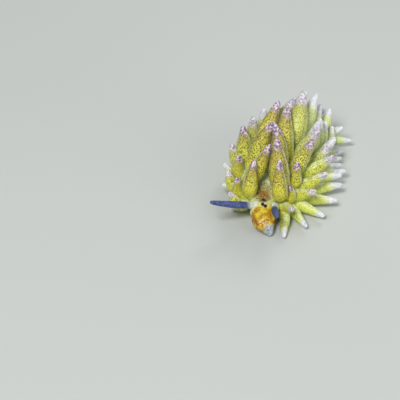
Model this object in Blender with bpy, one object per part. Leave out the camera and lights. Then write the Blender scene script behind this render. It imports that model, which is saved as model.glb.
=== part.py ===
# A costasiella sea slug as a still, life-size model. It crawls with its head turned a little to
# its right and its tail bent to its left, and leaf-like cerata stand in rows on its back.
# Sizes are in millimetres and become metres when a mesh is made. +Z is up, the animal faces
# -Y, its left side is +X, and the sole of its foot lies at z = 0.
import math

import bmesh
import bpy
import numpy as np

MM = 0.001
SEED = 7

# Centreline, by the distance s behind the tip of the snout
BODY_LENGTH = 9.6
NECK_TURN = -50.0
NECK_FADE = 0.8
TAIL_TURN = 44.0
TAIL_TURN_START = 1.2
CENTRELINE_STEPS = 400
SMOOTHING_PASSES = 30

# Body sections: distance from the snout, half width, height of the back
BODY_SECTIONS = (
    (0.00, 0.08, 0.46),
    (0.15, 0.24, 0.64),
    (0.50, 0.42, 0.92),
    (0.85, 0.56, 1.14),
    (1.20, 0.65, 1.26),
    (1.60, 0.66, 1.30),
    (2.10, 0.76, 1.38),
    (3.00, 0.92, 1.60),
    (4.20, 1.00, 1.80),
    (5.60, 0.92, 1.70),
    (7.00, 0.70, 1.35),
    (8.40, 0.40, 0.92),
    (9.00, 0.27, 0.74),
    (9.60, 0.09, 0.60),
)
SECTION_SIDES = 20
RING_STEP = 0.32
WIDEST_HEIGHT_SHARE = 0.45
BODY_UNDERSIDE = 0.05

# A low swelling over the heart, just behind the head
HEART_S = 2.15
HEART_LENGTH = 0.32
HEART_ANGLE = 26.0
HEART_HEIGHT = 0.10

# Where the body is parted, and the gap there
GAP = 0.2
NECK_CUT = 1.65
FRONT_CUT = 3.6
MIDDLE_CUT = 6.1
REAR_CUT = 8.0
TAIL_END = 9.1
STRETCHES = ("trunk_front", "trunk_middle", "trunk_rear", "tail")
CUTS = (NECK_CUT, FRONT_CUT, MIDDLE_CUT, REAR_CUT)

# Foot: a flat sole with a thin flared margin
FOOT_FRONT = 0.75
FOOT_END = 9.6
FOOT_HEIGHT = 0.35
FOOT_WIDTH_SHARE = 0.82
FOOT_RINGS = 34
FOOT_CROWDING = 1.4
FOOT_ROUNDING = 0.6
FOOT_TAPER = 0.8
FOOT_NARROWEST = 0.08
FOOT_OUTLINE = ((-0.92, 0.0), (-1.0, 0.28), (-0.97, 0.6), (-0.80, 1.0), (0.80, 1.0), (0.97, 0.6),
                (1.0, 0.28), (0.92, 0.0))
TRUNK_FLOOR = FOOT_HEIGHT + GAP
LOWEST_WIDEST = TRUNK_FLOOR + 0.03
TAIL_POINT = 0.2

# Head
SNOUT_FLOOR = 0.12
SNOUT_RISE_START = 0.30
SNOUT_RISE_END = 0.58
MOUTH_S = 0.15
MOUTH_DEPTH = 0.10
MOUTH_WIDTH = 0.035
LIP_HEIGHT = 0.05
LIP_WIDTH = 0.08
MOUTH_HALF_ANGLE = 66.0
CHEEK_HEIGHT = 0.07
CHEEK_S = 0.66
CHEEK_LENGTH = 0.30
CHEEK_ANGLE = 82.0
CHEEK_SPREAD = 34.0
HEAD_SIDES = 32
HEAD_RINGS = (0.02, 0.05, 0.08, 0.11, 0.14, 0.17, 0.20, 0.24, 0.29, 0.36, 0.45, 0.56, 0.68, 0.82,
              0.98, 1.14, 1.30, 1.44)

# Eyes: two small black beads, half sunk between the rhinophores
EYE_DIAMETER = 0.155
EYE_S = 1.15
EYE_SPACING = 0.13
EYE_STAGGER = 0.058
EYE_SUNK = 0.0
EYE_CLEARANCE = 0.05
EYE_SIDES = 12

# Rhinophores: tapered feelers that stand off a low collar; direction as x, y, z
RHINOPHORES = {
    "rhinophore_right": {"s": 1.40, "angle": -50.0, "length": 2.55, "toward": (-0.80, -0.50, 0.33),
                         "curl": 0.18},
    "rhinophore_left": {"s": 1.20, "angle": 54.0, "length": 2.30, "toward": (0.12, -0.90, 0.42),
                        "curl": 0.10},
}
RHINOPHORE_PROFILE = ((0.0, 0.25), (0.18, 0.27), (0.45, 0.25), (0.75, 0.19), (0.93, 0.12),
                      (1.0, 0.05))
RHINOPHORE_SIDES = 12
TIP_ROUNDNESS = 0.7
COLLAR_PROFILE = ((-0.20, 0.36), (0.0, 0.34), (0.09, 0.29), (0.14, 0.24))

# Rows of cerata. angle is measured from the top of the back, rise above level, and lean from
# outwards to backwards, each in degrees and given at the front and the back of the row; they
# fade from one to the other over fade, a share of the row. small is the size of the first
# ceras as a share of the longest, and crowd above 1 sets the first ones closer.
ROWS = (
    {"side": 1, "angle": (62, 62), "first": 2.05, "last": 2.05, "count": 1, "length": 3.4,
     "width": 0.94, "rise": (84, 84), "lean": (-12, -12), "fade": 1.0, "small": 0.95, "crowd": 1.0,
     "bend": 0.2},
    {"side": 1, "angle": (54, 24), "first": 2.65, "last": 8.3, "count": 7, "length": 3.5,
     "width": 1.22, "rise": (96, 90), "lean": (4, 46), "fade": 0.5, "small": 0.94, "crowd": 1.0,
     "bend": 0.2},
    {"side": 1, "angle": (88, 56), "first": 1.95, "last": 8.5, "count": 8, "length": 3.0,
     "width": 1.00, "rise": (60, 60), "lean": (-36, 44), "fade": 0.35, "small": 0.60, "crowd": 1.0,
     "bend": 0.6},
    {"side": 1, "angle": (94, 80), "first": 2.00, "last": 8.7, "count": 9, "length": 2.85,
     "width": 0.88, "rise": (20, 28), "lean": (-62, 42), "fade": 0.25, "small": 0.74, "crowd": 1.25,
     "bend": 0.4},
    {"side": 1, "angle": (104, 98), "first": 1.95, "last": 8.9, "count": 11, "length": 2.95,
     "width": 0.80, "rise": (-12, 4), "lean": (-80, 42), "fade": 0.3, "small": 0.84, "crowd": 1.5,
     "bend": 0.1},
    {"side": -1, "angle": (44, 44), "first": 2.05, "last": 2.05, "count": 1, "length": 3.0,
     "width": 1.00, "rise": (90, 90), "lean": (2, 2), "fade": 1.0, "small": 0.80, "crowd": 1.0,
     "bend": 0.2},
    {"side": -1, "angle": (40, 24), "first": 2.65, "last": 8.2, "count": 7, "length": 3.3,
     "width": 1.12, "rise": (106, 96), "lean": (4, 46), "fade": 0.4, "small": 0.94, "crowd": 1.0,
     "bend": 0.2},
    {"side": -1, "angle": (64, 52), "first": 2.10, "last": 8.4, "count": 8, "length": 2.6,
     "width": 0.98, "rise": (66, 76), "lean": (-8, 48), "fade": 0.5, "small": 0.70, "crowd": 1.0,
     "bend": 0.35},
    {"side": -1, "angle": (82, 76), "first": 2.00, "last": 8.6, "count": 8, "length": 2.15,
     "width": 0.88, "rise": (36, 54), "lean": (-18, 48), "fade": 0.45, "small": 0.74, "crowd": 1.0,
     "bend": 0.35},
    {"side": -1, "angle": (98, 98), "first": 1.95, "last": 8.8, "count": 8, "length": 1.95,
     "width": 0.74, "rise": (2, 22), "lean": (-30, 44), "fade": 0.4, "small": 0.74, "crowd": 1.0,
     "bend": 0.35},
)
STEEP_RISE = 78
WIDTH_OF_SMALL = 0.3
RISE_JITTER = 5.0
SIZE_JITTER = 0.06
FULL_SIZE_AT = 0.30
SHRINK_TO_TAIL = 0.45
SHRINK_FROM = 0.55
ROOT_DEPTH = 0.16
ROOT_TO_CUT = 0.05
CERAS_SIDES = 8
CERAS_FLATNESS = 0.86
CERAS_PROFILE = ((0.0, 0.56), (0.12, 0.78), (0.28, 0.97), (0.45, 1.00), (0.64, 0.86), (0.82, 0.54),
                 (0.93, 0.28))

# Spreading the cerata until none presses on another
JOINTS = 7
SPREAD_STEPS = 220
PUSH_SHARE = 0.29
PULL_HOME = 0.01
STRAIGHTEN = 0.15
RADIUS_SHARE = 0.92
GAP_IN_NODE = 0.03
FLOOR_CLEARANCE = 0.12
BALL_STEP = 0.3
MARGIN_BALL = 0.2
HORN_BALL = 0.27

MATERIALS = {
    "head": ((0.62, 0.36, 0.10), 0.38),
    "eye": ((0.01, 0.01, 0.01), 0.12),
    "rhinophore": ((0.16, 0.18, 0.38), 0.40),
    "body": ((0.42, 0.50, 0.22), 0.38),
    "foot": ((0.60, 0.62, 0.52), 0.42),
}


def smoothstep(t):
    t = np.clip(t, 0.0, 1.0)
    return t * t * (3.0 - 2.0 * t)


def unit(v):
    v = np.asarray(v, dtype=float)
    return v / np.linalg.norm(v, axis=-1, keepdims=True)


def make_centreline():
    """The heading turns at the neck and again toward the tail; its sum gives the path."""
    s = np.linspace(0.0, BODY_LENGTH, CENTRELINE_STEPS)
    tail = smoothstep((s - TAIL_TURN_START) / (BODY_LENGTH - TAIL_TURN_START))
    heading = np.radians(NECK_TURN * np.exp(-s / NECK_FADE) + TAIL_TURN * tail)
    middle = (heading[1:] + heading[:-1]) / 2.0
    step = s[1] - s[0]
    x = np.concatenate([[0.0], np.cumsum(np.sin(middle) * step)])
    y = np.concatenate([[0.0], np.cumsum(np.cos(middle) * step)])
    return s, x, y, heading


LINE_S, LINE_X, LINE_Y, LINE_HEADING = make_centreline()


def smooth_sections():
    """Half width and back height along the body, with the corners of the table rounded."""
    table = np.array(BODY_SECTIONS)
    columns = []
    for column in (1, 2):
        values = np.interp(LINE_S, table[:, 0], table[:, column])
        for _ in range(SMOOTHING_PASSES):
            values[1:-1] = (values[:-2] + 2.0 * values[1:-1] + values[2:]) / 4.0
        columns.append(values)
    return columns


HALF_WIDTH, BACK_HEIGHT = smooth_sections()


def directions(s, side=1.0):
    """Backward and outward directions at s; outward is toward the animal's left for side 1."""
    heading = np.interp(s, LINE_S, LINE_HEADING)
    zero = np.zeros_like(heading)
    back = np.stack([np.sin(heading), np.cos(heading), zero], -1)
    out = np.stack([np.cos(heading), -np.sin(heading), zero], -1) * side
    return back, out


def skin_point(s, angle, extra=0.0):
    """Point of the body at s, at an angle in radians from the top toward the left."""
    s, angle = np.broadcast_arrays(np.asarray(s, dtype=float), angle)
    heart = ((s - HEART_S) / HEART_LENGTH) ** 2 + (angle / math.radians(HEART_ANGLE)) ** 2
    extra = extra + HEART_HEIGHT * np.exp(-heart)
    width = np.interp(s, LINE_S, HALF_WIDTH)
    top = np.interp(s, LINE_S, BACK_HEIGHT)
    middle = BODY_UNDERSIDE + WIDEST_HEIGHT_SHARE * (top - BODY_UNDERSIDE)
    middle = np.where(s > MIDDLE_CUT, np.maximum(middle, LOWEST_WIDEST), middle)
    height = np.where(np.cos(angle) > 0.0, top - middle, middle - BODY_UNDERSIDE)
    back, out = directions(s)
    x = np.interp(s, LINE_S, LINE_X)
    y = np.interp(s, LINE_S, LINE_Y)
    reach = (width + extra) * np.sin(angle)
    point = np.stack([x, y, middle + (height + extra) * np.cos(angle)], -1)
    return point + out * reach[..., None]


def skin_normal(s, angle):
    """Outward direction of the body surface, from two small steps along it."""
    d = 0.01
    along = skin_point(s + d, angle) - skin_point(s - d, angle)
    around = skin_point(s, angle + d) - skin_point(s, angle - d)
    return unit(np.cross(around, along))


def material(name):
    colour, roughness = MATERIALS[name]
    found = bpy.data.materials.get(name)
    if found:
        return found
    made = bpy.data.materials.new(name)
    made.use_nodes = True
    shader = made.node_tree.nodes["Principled BSDF"]
    shader.inputs["Base Color"].default_value = (*colour, 1.0)
    shader.inputs["Roughness"].default_value = roughness
    return made


def add_object(name, points, faces, slot):
    mesh = bpy.data.meshes.new(name)
    mesh.from_pydata([tuple(p) for p in np.asarray(points) * MM], [], faces)
    mesh.materials.append(material(slot))
    made = bpy.data.objects.new(name, mesh)
    bpy.context.scene.collection.objects.link(made)
    repair = bmesh.new()
    repair.from_mesh(mesh)
    bmesh.ops.recalc_face_normals(repair, faces=repair.faces[:])
    repair.to_mesh(mesh)
    repair.free()
    return made


def lofted(rings, tip_first=None, tip_last=None):
    """Points and faces of a closed skin over equal rings, with flat or pointed ends."""
    rings = np.asarray(rings)
    count, sides = rings.shape[:2]
    points = list(rings.reshape(-1, 3))
    faces = []
    for ring in range(count - 1):
        for k in range(sides):
            after = (k + 1) % sides
            a = ring * sides + k
            b = ring * sides + after
            faces.append((a, b, b + sides, a + sides))
    for tip, ring in ((tip_first, 0), (tip_last, count - 1)):
        loop = [ring * sides + k for k in range(sides)]
        if tip is None:
            faces.append(tuple(loop))
            continue
        points.append(np.asarray(tip))
        last = len(points) - 1
        faces.extend((loop[k], loop[(k + 1) % sides], last) for k in range(sides))
    return points, faces


def fuse(target, extras):
    """Boolean union of the target with every extra; keeps the largest closed surface."""
    group = bpy.data.collections.new(target.name + "_extras")
    bpy.context.scene.collection.children.link(group)
    for extra in extras:
        bpy.context.scene.collection.objects.unlink(extra)
        group.objects.link(extra)
    union = target.modifiers.new("union", "BOOLEAN")
    union.operation = "UNION"
    union.operand_type = "COLLECTION"
    union.collection = group
    union.solver = "EXACT"
    union.use_self = True
    apply_modifiers(target)
    for extra in list(group.objects):
        bpy.data.objects.remove(extra)
    bpy.data.collections.remove(group)
    keep_largest_surface(target)


def carve(target, cutter):
    cut = target.modifiers.new("cut", "BOOLEAN")
    cut.operation = "DIFFERENCE"
    cut.object = cutter
    cut.solver = "EXACT"
    apply_modifiers(target)
    bpy.data.objects.remove(cutter)


def apply_modifiers(target):
    graph = bpy.context.evaluated_depsgraph_get()
    graph.update()
    result = bpy.data.meshes.new_from_object(target.evaluated_get(graph))
    target.modifiers.clear()
    target.data = result


def keep_largest_surface(target):
    work = bmesh.new()
    work.from_mesh(target.data)
    bmesh.ops.remove_doubles(work, verts=work.verts[:], dist=0.0005 * MM)
    islands = []
    seen = set()
    for start in work.verts:
        if start in seen:
            continue
        island = [start]
        seen.add(start)
        for vertex in island:
            for edge in vertex.link_edges:
                other = edge.other_vert(vertex)
                if other not in seen:
                    seen.add(other)
                    island.append(other)
        islands.append(island)
    islands.sort(key=len, reverse=True)
    for island in islands[1:]:
        bmesh.ops.delete(work, geom=island, context="VERTS")
    bmesh.ops.recalc_face_normals(work, faces=work.faces[:])
    work.to_mesh(target.data)
    work.free()


def body_length(name, start, end):
    """A stretch of the body between two cuts, with a flat underside above the foot."""
    count = max(3, int(round((end - start) / RING_STEP)) + 1)
    s = np.linspace(start, end, count)
    angle = np.linspace(-math.pi, math.pi, SECTION_SIDES, endpoint=False)
    rings = skin_point(s[:, None], angle[None, :])
    rings[..., 2] = np.maximum(rings[..., 2], TRUNK_FLOOR)
    tip = None
    if end == TAIL_END:
        tip = skin_point(np.array(end + TAIL_POINT), 0.0)
        tip[2] = rings[-1, :, 2].mean()
    points, faces = lofted(rings, tip_last=tip)
    return add_object(name, points, faces, "body")


def head_point(s, angle):
    """Body surface with cheeks, and a mouth line between two lips low on the snout."""
    s, angle = np.broadcast_arrays(s, angle)
    below = math.pi - np.abs(angle)
    window = smoothstep(1.0 - below / math.radians(MOUTH_HALF_ANGLE))
    groove = np.exp(-((s - MOUTH_S) / MOUTH_WIDTH) ** 2) * MOUTH_DEPTH
    lips = np.exp(-((s - MOUTH_S) / LIP_WIDTH) ** 2) * LIP_HEIGHT
    side = (np.abs(angle) - math.radians(CHEEK_ANGLE)) / math.radians(CHEEK_SPREAD)
    cheeks = np.exp(-((s - CHEEK_S) / CHEEK_LENGTH) ** 2 - side ** 2) * CHEEK_HEIGHT
    point = skin_point(s, angle, cheeks)
    floor = SNOUT_FLOOR + (TRUNK_FLOOR - SNOUT_FLOOR) * smoothstep(
        (s - SNOUT_RISE_START) / (SNOUT_RISE_END - SNOUT_RISE_START))
    point[..., 2] = np.maximum(point[..., 2], floor)
    normal = skin_normal(s, angle)
    return point + normal * ((lips - groove) * window)[..., None]


def make_head():
    s = np.array(HEAD_RINGS + (NECK_CUT - GAP / 2.0,))
    angle = np.linspace(-math.pi, math.pi, HEAD_SIDES, endpoint=False)
    rings = head_point(s[:, None], angle[None, :])
    tip = skin_point(np.array(0.0), 0.0)
    tip[2] = rings[0, :, 2].mean()
    points, faces = lofted(rings, tip_first=tip)
    head = add_object("head", points, faces, "head")
    collars = []
    for name, horn in RHINOPHORES.items():
        base, toward = horn_root(horn)
        path = base + toward * np.array([along for along, _ in COLLAR_PROFILE])[:, None]
        radii = [radius for _, radius in COLLAR_PROFILE]
        collars.append(tube(name + "_collar", path, radii, RHINOPHORE_SIDES, "head"))
    fuse(head, collars)
    for side in (-1.0, 1.0):
        radius = EYE_DIAMETER / 2.0 + EYE_CLEARANCE
        socket = sphere("socket", eye_centre(side), radius, EYE_SIDES, "head")
        carve(head, socket)
    keep_largest_surface(head)
    return head


def eye_centre(side):
    """Just under the top of the head; the left eye sits a little further forward."""
    s = np.array(EYE_S - side * EYE_STAGGER)
    width = float(np.interp(s, LINE_S, HALF_WIDTH))
    angle = side * math.asin(EYE_SPACING / 2.0 / width)
    return skin_point(s, angle) - skin_normal(s, angle) * EYE_SUNK


def sphere(name, centre, radius, sides, slot):
    rings = []
    for latitude in np.linspace(-math.pi / 2.0, math.pi / 2.0, sides // 2 + 1)[1:-1]:
        turn = np.linspace(0.0, 2.0 * math.pi, sides, endpoint=False)
        flat = math.cos(latitude) * radius
        ring = np.stack([np.cos(turn) * flat, np.sin(turn) * flat,
                         np.full(sides, math.sin(latitude) * radius)], -1)
        rings.append(ring + centre)
    up = np.array([0.0, 0.0, radius])
    points, faces = lofted(rings, tip_first=centre - up, tip_last=centre + up)
    return add_object(name, points, faces, slot)


def make_eyes():
    for name, side in (("eye_right", -1.0), ("eye_left", 1.0)):
        sphere(name, eye_centre(side), EYE_DIAMETER / 2.0, EYE_SIDES, "eye")


def horn_root(horn):
    base = skin_point(np.array(horn["s"]), math.radians(horn["angle"]))
    return base, unit(horn["toward"])


def tube(name, path, radii, sides, slot, tip=None, flatness=1.0, broad=(0.0, 0.0, 1.0)):
    """Rings of the given radii along a path; flatness squeezes them across the broad side.

    The first ring's wide direction is level with the broad side, and each next ring turns it
    only as far as the path itself turns, so the tube doesn't twist.
    """
    path = np.asarray(path)
    tangent = unit(np.gradient(path, axis=0))
    turn = np.linspace(0.0, 2.0 * math.pi, sides, endpoint=False)
    across = unit(np.cross(tangent[0], unit(broad)))
    rings = []
    for centre, ahead, radius in zip(path, tangent, radii):
        across = unit(across - ahead * np.dot(across, ahead))
        other = np.cross(ahead, across) * flatness
        ring = np.outer(np.cos(turn), across) + np.outer(np.sin(turn), other)
        rings.append(centre + ring * radius)
    points, faces = lofted(rings, tip_last=tip)
    return add_object(name, points, faces, slot)


def horn_path(horn, start):
    base, toward = horn_root(horn)
    share = np.array([u for u, _ in RHINOPHORE_PROFILE])
    along = start + (horn["length"] - start) * share
    up = np.array([0.0, 0.0, 1.0])
    return base + toward * along[:, None] + up * (horn["curl"] * share ** 2)[:, None]


def make_rhinophores():
    for name, horn in RHINOPHORES.items():
        path = horn_path(horn, COLLAR_PROFILE[-1][0] + GAP)
        radii = [r for _, r in RHINOPHORE_PROFILE]
        tip = path[-1] + unit(path[-1] - path[-2]) * radii[-1] * TIP_ROUNDNESS
        tube(name, path, radii, RHINOPHORE_SIDES, "rhinophore", tip=tip)


def make_foot():
    """A strip with a flat sole; the margin is rounded and stands out past the top."""
    share = np.linspace(0.0, 1.0, FOOT_RINGS) ** FOOT_CROWDING
    s = FOOT_FRONT + (FOOT_END - FOOT_FRONT) * share
    front = np.sqrt(np.clip((s - FOOT_FRONT) / FOOT_ROUNDING, 0.0, 1.0))
    half = np.interp(s, LINE_S, HALF_WIDTH) * FOOT_WIDTH_SHARE * front
    half = np.maximum(half, FOOT_NARROWEST)
    height = FOOT_HEIGHT * (0.45 + 0.55 * smoothstep((FOOT_END - s) / FOOT_TAPER))
    height = height * (0.6 + 0.4 * smoothstep((s - FOOT_FRONT) / FOOT_ROUNDING))
    _, out = directions(s)
    centre = np.stack([np.interp(s, LINE_S, LINE_X), np.interp(s, LINE_S, LINE_Y), 0.0 * s], -1)
    across = np.array([x for x, _ in FOOT_OUTLINE])
    above = np.array([z for _, z in FOOT_OUTLINE])
    rings = centre[:, None] + out[:, None] * (half[:, None] * across)[..., None]
    rings[..., 2] = height[:, None] * above
    points, faces = lofted(rings)
    return add_object("foot", points, faces, "foot")


def node_of(s):
    return STRETCHES[int(np.searchsorted(CUTS, s, side="right")) - 1]


def size_along_row(t, small):
    """Cerata grow from the first to the middle of the row and shrink toward the tail."""
    grown = small + (1.0 - small) * smoothstep(t / FULL_SIZE_AT)
    return grown * (1.0 - SHRINK_TO_TAIL * smoothstep((t - SHRINK_FROM) / (1.0 - SHRINK_FROM)))


def clear_of_cuts(s, radius):
    """Moves a root along the body until its base stays inside one node."""
    need = GAP / 2.0 + radius + ROOT_TO_CUT
    for cut in CUTS[1:]:
        if abs(s - cut) < need:
            return cut + math.copysign(need, s - cut)
    return max(s, CUTS[0] + need)


def plan_cerata():
    """Root, direction, size and node of every ceras."""
    rng = np.random.default_rng(SEED)
    up = np.array([0.0, 0.0, 1.0])
    plan = []
    for row in ROWS:
        for t in np.linspace(0.0, 1.0, row["count"]):
            size = size_along_row(t, row["small"]) * rng.uniform(1.0 - SIZE_JITTER, 1.0 + SIZE_JITTER)
            width = row["width"] * (WIDTH_OF_SMALL + (1.0 - WIDTH_OF_SMALL) * size)
            s = row["first"] + (row["last"] - row["first"]) * t ** row["crowd"]
            s = clear_of_cuts(s, CERAS_PROFILE[0][1] * width / 2.0)
            turn = math.exp(-t / row["fade"])
            angle, rise, lean = (
                math.radians(row[key][1] + (row[key][0] - row[key][1]) * turn)
                for key in ("angle", "rise", "lean"))
            rise = rise + math.radians(rng.uniform(-RISE_JITTER, RISE_JITTER))
            back, out = directions(np.array(s), row["side"])
            if row["rise"][1] > STEEP_RISE:
                toward = math.sin(rise) * (math.cos(lean) * up + math.sin(lean) * back)
                toward = toward + math.cos(rise) * out
            else:
                toward = math.cos(rise) * (math.cos(lean) * out + math.sin(lean) * back)
                toward = toward + math.sin(rise) * up
            plan.append({
                "root": skin_point(np.array(s), angle * row["side"]),
                "toward": unit(toward), "back": back, "bend": row["bend"], "node": node_of(s),
                "length": row["length"] * size, "width": width,
            })
    return plan


def first_axis(ceras):
    """A curve from just inside the root that turns up and back."""
    up = np.array([0.0, 0.0, 1.0])
    later = unit(ceras["toward"] + ceras["bend"] * (0.8 * up + 0.25 * ceras["back"]))
    u = np.linspace(0.0, 1.0, JOINTS)[:, None]
    start = ceras["root"] - ceras["toward"] * ROOT_DEPTH
    middle = start + ceras["toward"] * ceras["length"] * 0.5
    end = middle + later * ceras["length"] * 0.5
    return (1.0 - u) ** 2 * start + 2.0 * u * (1.0 - u) * middle + u * u * end


def obstacles():
    """Balls that fill the head, trunk, foot margin and rhinophores, for the spreading."""
    centres = []
    radii = []
    for s in np.arange(0.2, TAIL_END, BALL_STEP):
        width = float(np.interp(s, LINE_S, HALF_WIDTH))
        top = float(np.interp(s, LINE_S, BACK_HEIGHT))
        _, out = directions(np.array(s))
        middle = np.array([np.interp(s, LINE_S, LINE_X), np.interp(s, LINE_S, LINE_Y), 0.0])
        ball = min(width, top / 2.0) * 0.95
        centres.append(middle + np.array([0.0, 0.0, top - ball]))
        radii.append(ball)
        if s > FOOT_FRONT:
            for side in (-1.0, 1.0):
                edge = width * FOOT_WIDTH_SHARE - MARGIN_BALL / 2.0
                centres.append(middle + out * side * edge + np.array([0.0, 0.0, MARGIN_BALL]))
                radii.append(MARGIN_BALL)
    for horn in RHINOPHORES.values():
        for point in horn_path(horn, 0.0):
            centres.append(point)
            radii.append(HORN_BALL)
    return np.array(centres), np.array(radii)


def pushed_off(joints, radii, centres, centre_radii, gap):
    """How far each joint moves off the balls that come nearer than the gap."""
    between = joints[:, None] - centres[None]
    distance = np.linalg.norm(between, axis=2) + 1e-9
    press = np.clip(radii[:, None] + centre_radii[None] + gap - distance, 0.0, None)
    return (between / distance[..., None] * press[..., None]).sum(1) * PUSH_SHARE


def spread(plan):
    """Pushes the joints of the cerata apart; roots and lengths stay."""
    axes = np.array([first_axis(c) for c in plan])
    u = np.linspace(0.0, 1.0, JOINTS)
    profile = np.array(CERAS_PROFILE + ((1.0, 0.05),))
    share = np.interp(u, profile[:, 0], profile[:, 1])
    radius = np.array([c["width"] / 2.0 for c in plan])[:, None] * share * RADIUS_SHARE
    owner = np.repeat(np.arange(len(plan)), JOINTS)
    node = np.array([c["node"] for c in plan])[owner]
    gap = np.where(node[:, None] != node[None, :], GAP, GAP_IN_NODE)
    gap[owner[:, None] == owner[None, :]] = -BODY_LENGTH
    free = np.clip(u * 1.6 - 0.1, 0.0, 1.0)[None, :, None]
    segment = np.linalg.norm(np.diff(axes, axis=1), axis=2, keepdims=True)
    balls, ball_radii = obstacles()
    home = axes.copy()
    flat = radius.reshape(-1)
    for _ in range(SPREAD_STEPS):
        joints = axes.reshape(-1, 3)
        push = pushed_off(joints, flat, joints, flat, gap)
        push = push + pushed_off(joints, flat, balls, ball_radii, GAP)
        axes = axes + push.reshape(axes.shape) * free
        axes = axes + (home - axes) * PULL_HOME * free
        axes[..., 2] = np.maximum(axes[..., 2], radius + FLOOR_CLEARANCE)
        for _ in range(2):
            for j in range(1, JOINTS):
                step = axes[:, j] - axes[:, j - 1]
                axes[:, j] = axes[:, j - 1] + unit(step) * segment[:, j - 1]
        middle = (axes[:, 2:] + axes[:, :-2]) / 2.0
        axes[:, 1:-1] += STRAIGHTEN * (middle - axes[:, 1:-1]) * free[:, 1:-1]
    return axes


def along_axis(axis, u):
    """Points of a smooth curve through the joints, by cubic pieces."""
    joints = len(axis)
    place = np.clip(np.asarray(u) * (joints - 1), 0.0, joints - 1 - 1e-9)
    k = place.astype(int)
    f = (place - k)[:, None]
    slope = np.gradient(axis, axis=0)
    a = axis[k]
    b = axis[k + 1]
    return ((2.0 * f ** 3 - 3.0 * f ** 2 + 1.0) * a + (f ** 3 - 2.0 * f ** 2 + f) * slope[k]
            + (3.0 * f ** 2 - 2.0 * f ** 3) * b + (f ** 3 - f ** 2) * slope[k + 1])


def make_ceras(index, ceras, axis):
    share = [u for u, _ in CERAS_PROFILE]
    points = along_axis(axis, share)
    radii = np.array([r for _, r in CERAS_PROFILE]) * ceras["width"] / 2.0
    return tube(f"ceras_{index}", points, radii, CERAS_SIDES, "body", tip=axis[-1],
                flatness=CERAS_FLATNESS, broad=ceras["back"])


def make_body_with_cerata():
    plan = plan_cerata()
    axes = spread(plan)
    for k, name in enumerate(STRETCHES):
        end = TAIL_END if name == "tail" else CUTS[k + 1] - GAP / 2.0
        stretch = body_length(name, CUTS[k] + GAP / 2.0, end)
        leaves = [make_ceras(i, c, axes[i]) for i, c in enumerate(plan) if c["node"] == name]
        fuse(stretch, leaves)


def centre_on_origin():
    """Puts the middle of the whole animal's box over the origin; the sole stays at z = 0."""
    objects = [o for o in bpy.context.scene.objects if o.type == "MESH"]
    corners = np.array([v.co for o in objects for v in o.data.vertices])
    middle = (corners.min(axis=0) + corners.max(axis=0)) / 2.0
    for item in objects:
        for vertex in item.data.vertices:
            vertex.co.x -= middle[0]
            vertex.co.y -= middle[1]


for old in list(bpy.data.objects):
    bpy.data.objects.remove(old)
make_head()
make_eyes()
make_rhinophores()
make_foot()
make_body_with_cerata()
centre_on_origin()
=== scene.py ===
import math

import bpy
import numpy as np
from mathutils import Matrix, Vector


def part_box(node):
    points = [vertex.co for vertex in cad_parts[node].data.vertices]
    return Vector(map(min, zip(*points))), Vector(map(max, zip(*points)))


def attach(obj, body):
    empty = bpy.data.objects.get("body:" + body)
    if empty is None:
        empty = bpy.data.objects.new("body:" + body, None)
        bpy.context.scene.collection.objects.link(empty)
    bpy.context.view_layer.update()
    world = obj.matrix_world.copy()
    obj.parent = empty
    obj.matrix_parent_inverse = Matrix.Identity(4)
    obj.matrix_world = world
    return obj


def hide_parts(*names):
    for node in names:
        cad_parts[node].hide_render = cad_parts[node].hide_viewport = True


# A leaf-sheep sea slug, about 10 mm long: one skin for the head, back, tail and foot, leaf-like
# cerata with a green gland inside a clear skin, two rhinophores and two bead eyes.
# Shapes are worked out in millimetres on the body's own centreline, then moved into the frame.
# The centreline, the sections and the plan of the cerata are those of the solids.

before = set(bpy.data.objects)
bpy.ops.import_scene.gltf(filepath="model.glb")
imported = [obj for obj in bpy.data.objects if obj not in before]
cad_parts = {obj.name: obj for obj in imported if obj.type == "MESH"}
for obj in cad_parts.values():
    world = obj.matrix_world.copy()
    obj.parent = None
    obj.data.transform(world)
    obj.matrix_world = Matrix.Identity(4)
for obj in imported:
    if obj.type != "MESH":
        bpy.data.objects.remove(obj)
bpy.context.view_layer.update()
mm = 0.001
up = np.array([0.0, 0.0, 1.0])
print("frame loaded:", len(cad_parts), "nodes")


# the photograph's view

view = {
    "azimuth": 6.0,  # degrees to the animal's left of straight ahead
    "elevation": 38.0,
    "distance": 110.0,  # from the eyes, in mm
    "lens": 198.0,
    "eyesRight": 3.2,  # where the eyes stand in the picture, in mm from its middle
    "eyesUp": -0.25,
}


def boxMiddle(node):
    low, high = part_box(node)
    return (np.array(low) + np.array(high)) / 2.0 / mm


def makeCamera():
    # direction to the camera = (sin az cos el, -cos az cos el, sin el)
    azimuth, elevation = math.radians(view["azimuth"]), math.radians(view["elevation"])
    toCamera = np.array([math.sin(azimuth) * math.cos(elevation),
                         -math.cos(azimuth) * math.cos(elevation), math.sin(elevation)])
    right = np.cross(up, toCamera)
    right = right / np.linalg.norm(right)
    above = np.cross(toCamera, right)
    eyes = (boxMiddle("eye_left") + boxMiddle("eye_right")) / 2.0
    target = eyes - right * view["eyesRight"] - above * view["eyesUp"]
    data = bpy.data.cameras.new("camera")
    data.lens = view["lens"]
    data.sensor_width = 36.0
    data.clip_start = 0.005
    data.clip_end = 10.0
    camera = bpy.data.objects.new("camera", data)
    bpy.context.scene.collection.objects.link(camera)
    camera.location = Vector((target + toCamera * view["distance"]) * mm)
    camera.rotation_euler = Vector(toCamera).to_track_quat("Z", "Y").to_euler()
    bpy.context.scene.camera = camera


makeCamera()


# materials: colours as sRGB hex, pattern sizes in mm

def srgb(hexColour):
    channels = [int(hexColour[i:i + 2], 16) / 255.0 for i in (1, 3, 5)]
    linear = [c / 12.92 if c <= 0.04045 else ((c + 0.055) / 1.055) ** 2.4 for c in channels]
    return (*linear, 1.0)


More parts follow.
